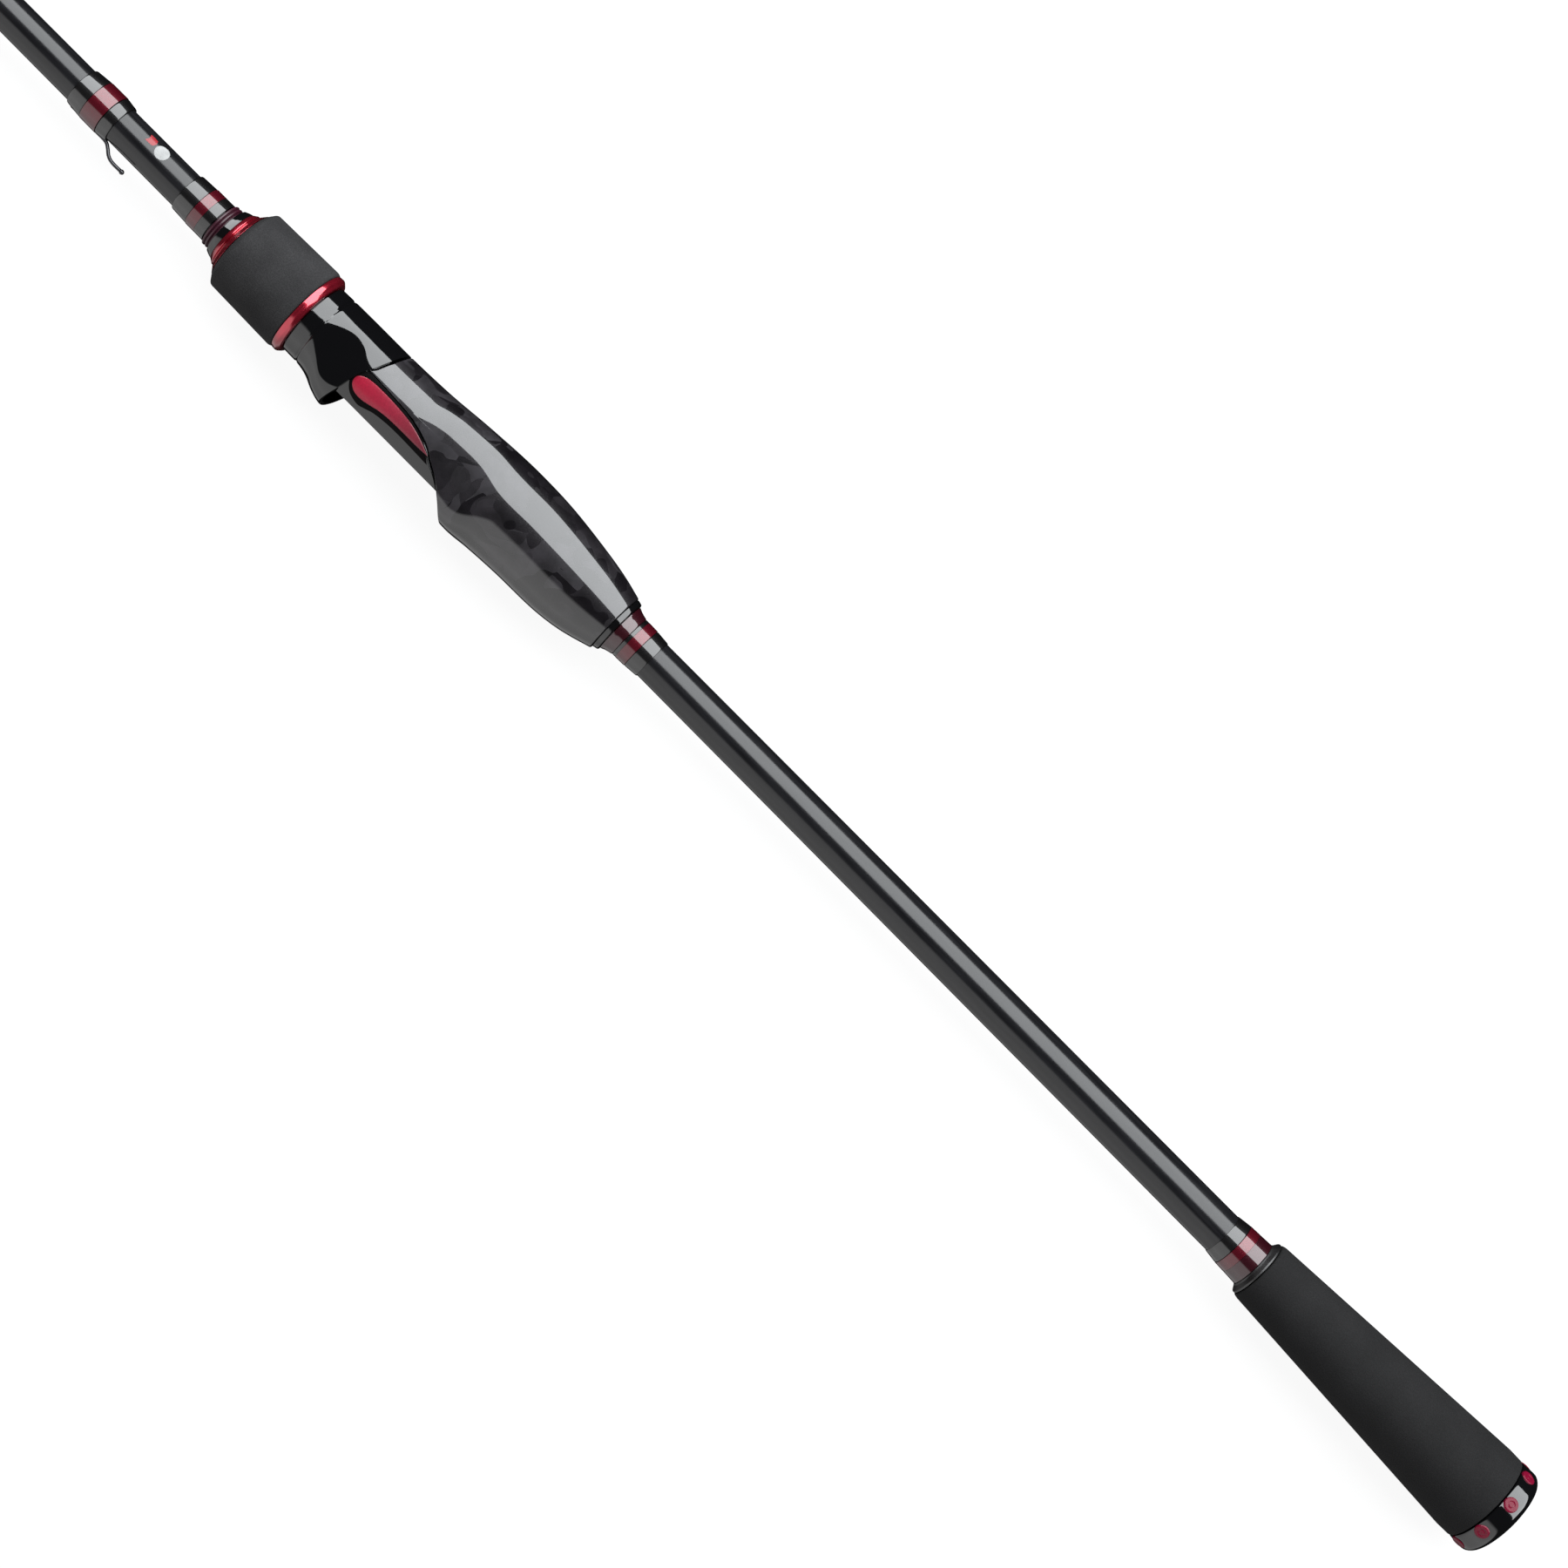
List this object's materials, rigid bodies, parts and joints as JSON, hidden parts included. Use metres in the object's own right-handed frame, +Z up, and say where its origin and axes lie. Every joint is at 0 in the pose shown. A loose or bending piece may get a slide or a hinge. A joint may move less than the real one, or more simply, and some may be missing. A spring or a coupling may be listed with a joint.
{
  "type": "spinning rod",
  "caption": "Two-piece spinning fishing rod with split foam grips, a screw-locking reel seat, ringed line guides and a sleeve ferrule.",
  "frame": {"origin": "middle of the flat reel bed, where a reel foot rests", "axes": "+X along the rod towards the butt, -Y out of the reel bed, +Z up: the rod lies on its side"},
  "size_m": [2.4375, 0.0577, 0.0286],
  "materials": {
    "blank": "satin clear-coated carbon fibre",
    "gloss_black": "polished moulded plastic",
    "nut_black": "moulded, dry",
    "red_metal": "red anodised, polished",
    "inlay_red": "red, clear-coated",
    "grip_foam": "fine closed-cell EVA foam, matt",
    "palm_graphite": "forged-carbon look under gloss coat",
    "wrap_black": "black thread under clear epoxy",
    "wrap_red": "red thread under clear epoxy",
    "burgundy_check": "dark red, ribbed, satin",
    "guide_metal": "dark grey plated stainless steel",
    "guide_ceramic": "polished dark ceramic",
    "arbor": "rigid foam"
  },
  "bodies": {
    "butt_section": {"butt_blank": "blank", "butt_cap": "gloss_black", "rear_check": "gloss_black", "seat_end_ring": "gloss_black", "seat_body": "gloss_black", "cap_insert_ring": "red_metal", "inlay_left": "inlay_red", "inlay_right": "inlay_red", "rear_grip": "grip_foam", "palm_shell": "palm_graphite", "rear_wrap": "wrap_black", "seat_rear_wrap": "wrap_black", "front_wrap": "wrap_black", "keeper_wrap": "wrap_black", "rear_band": "wrap_red", "seat_rear_band": "wrap_red", "front_band": "wrap_red", "keeper_band": "wrap_red", "front_check": "burgundy_check", "hook_keeper": "guide_metal", "arbor_front": "arbor", "arbor_rear": "arbor", "butt_ferrule_wrap": "wrap_black", "stripper_guide_rear_wrap": "wrap_black", "stripper_guide_front_wrap": "wrap_black", "stripper_guide_frame": "guide_metal", "stripper_guide_ring": "guide_ceramic"},
    "moving_hood": {"moving_hood": "gloss_black"},
    "locking_nut": {"locking_nut": "nut_black", "foregrip": "grip_foam", "nut_front_ring": "red_metal", "nut_rear_ring": "red_metal"},
    "tip_section": {"tip_blank": "blank", "tip_ferrule": "blank", "tip_ferrule_wrap": "wrap_black", "tip_top_wrap": "wrap_black", "tip_top_frame": "guide_metal", "tip_top_ring": "guide_ceramic", "guide_2_frame": "guide_metal", "guide_2_ring": "guide_ceramic", "guide_2_wrap": "wrap_black", "guide_3_frame": "guide_metal", "guide_3_ring": "guide_ceramic", "guide_3_wrap": "wrap_black", "guide_4_frame": "guide_metal", "guide_4_ring": "guide_ceramic", "guide_4_wrap": "wrap_black", "guide_5_frame": "guide_metal", "guide_5_ring": "guide_ceramic", "guide_5_wrap": "wrap_black", "guide_6_frame": "guide_metal", "guide_6_ring": "guide_ceramic", "guide_6_wrap": "wrap_black", "guide_7_frame": "guide_metal", "guide_7_ring": "guide_ceramic", "guide_7_wrap": "wrap_black"}
  },
  "joints": [
    {"name": "hood_slide", "type": "slide", "parent": "butt_section", "child": "moving_hood", "axis": [-1, 0, 0], "range_m": [0, 0.012]},
    {"name": "nut_turn", "type": "hinge", "parent": "moving_hood", "child": "locking_nut", "pos_m": [-0.055, 0.0093, 0], "axis": [-1, 0, 0], "range_deg": [0, 1440]},
    {"name": "tip_pull", "type": "slide", "parent": "butt_section", "child": "tip_section", "axis": [-1, 0, 0], "range_m": [0, 0.09]}
  ],
  "couplings": [
    {"joint": "nut_turn", "follows": "hood_slide", "rad_per_m": 2094.4}
  ]
}
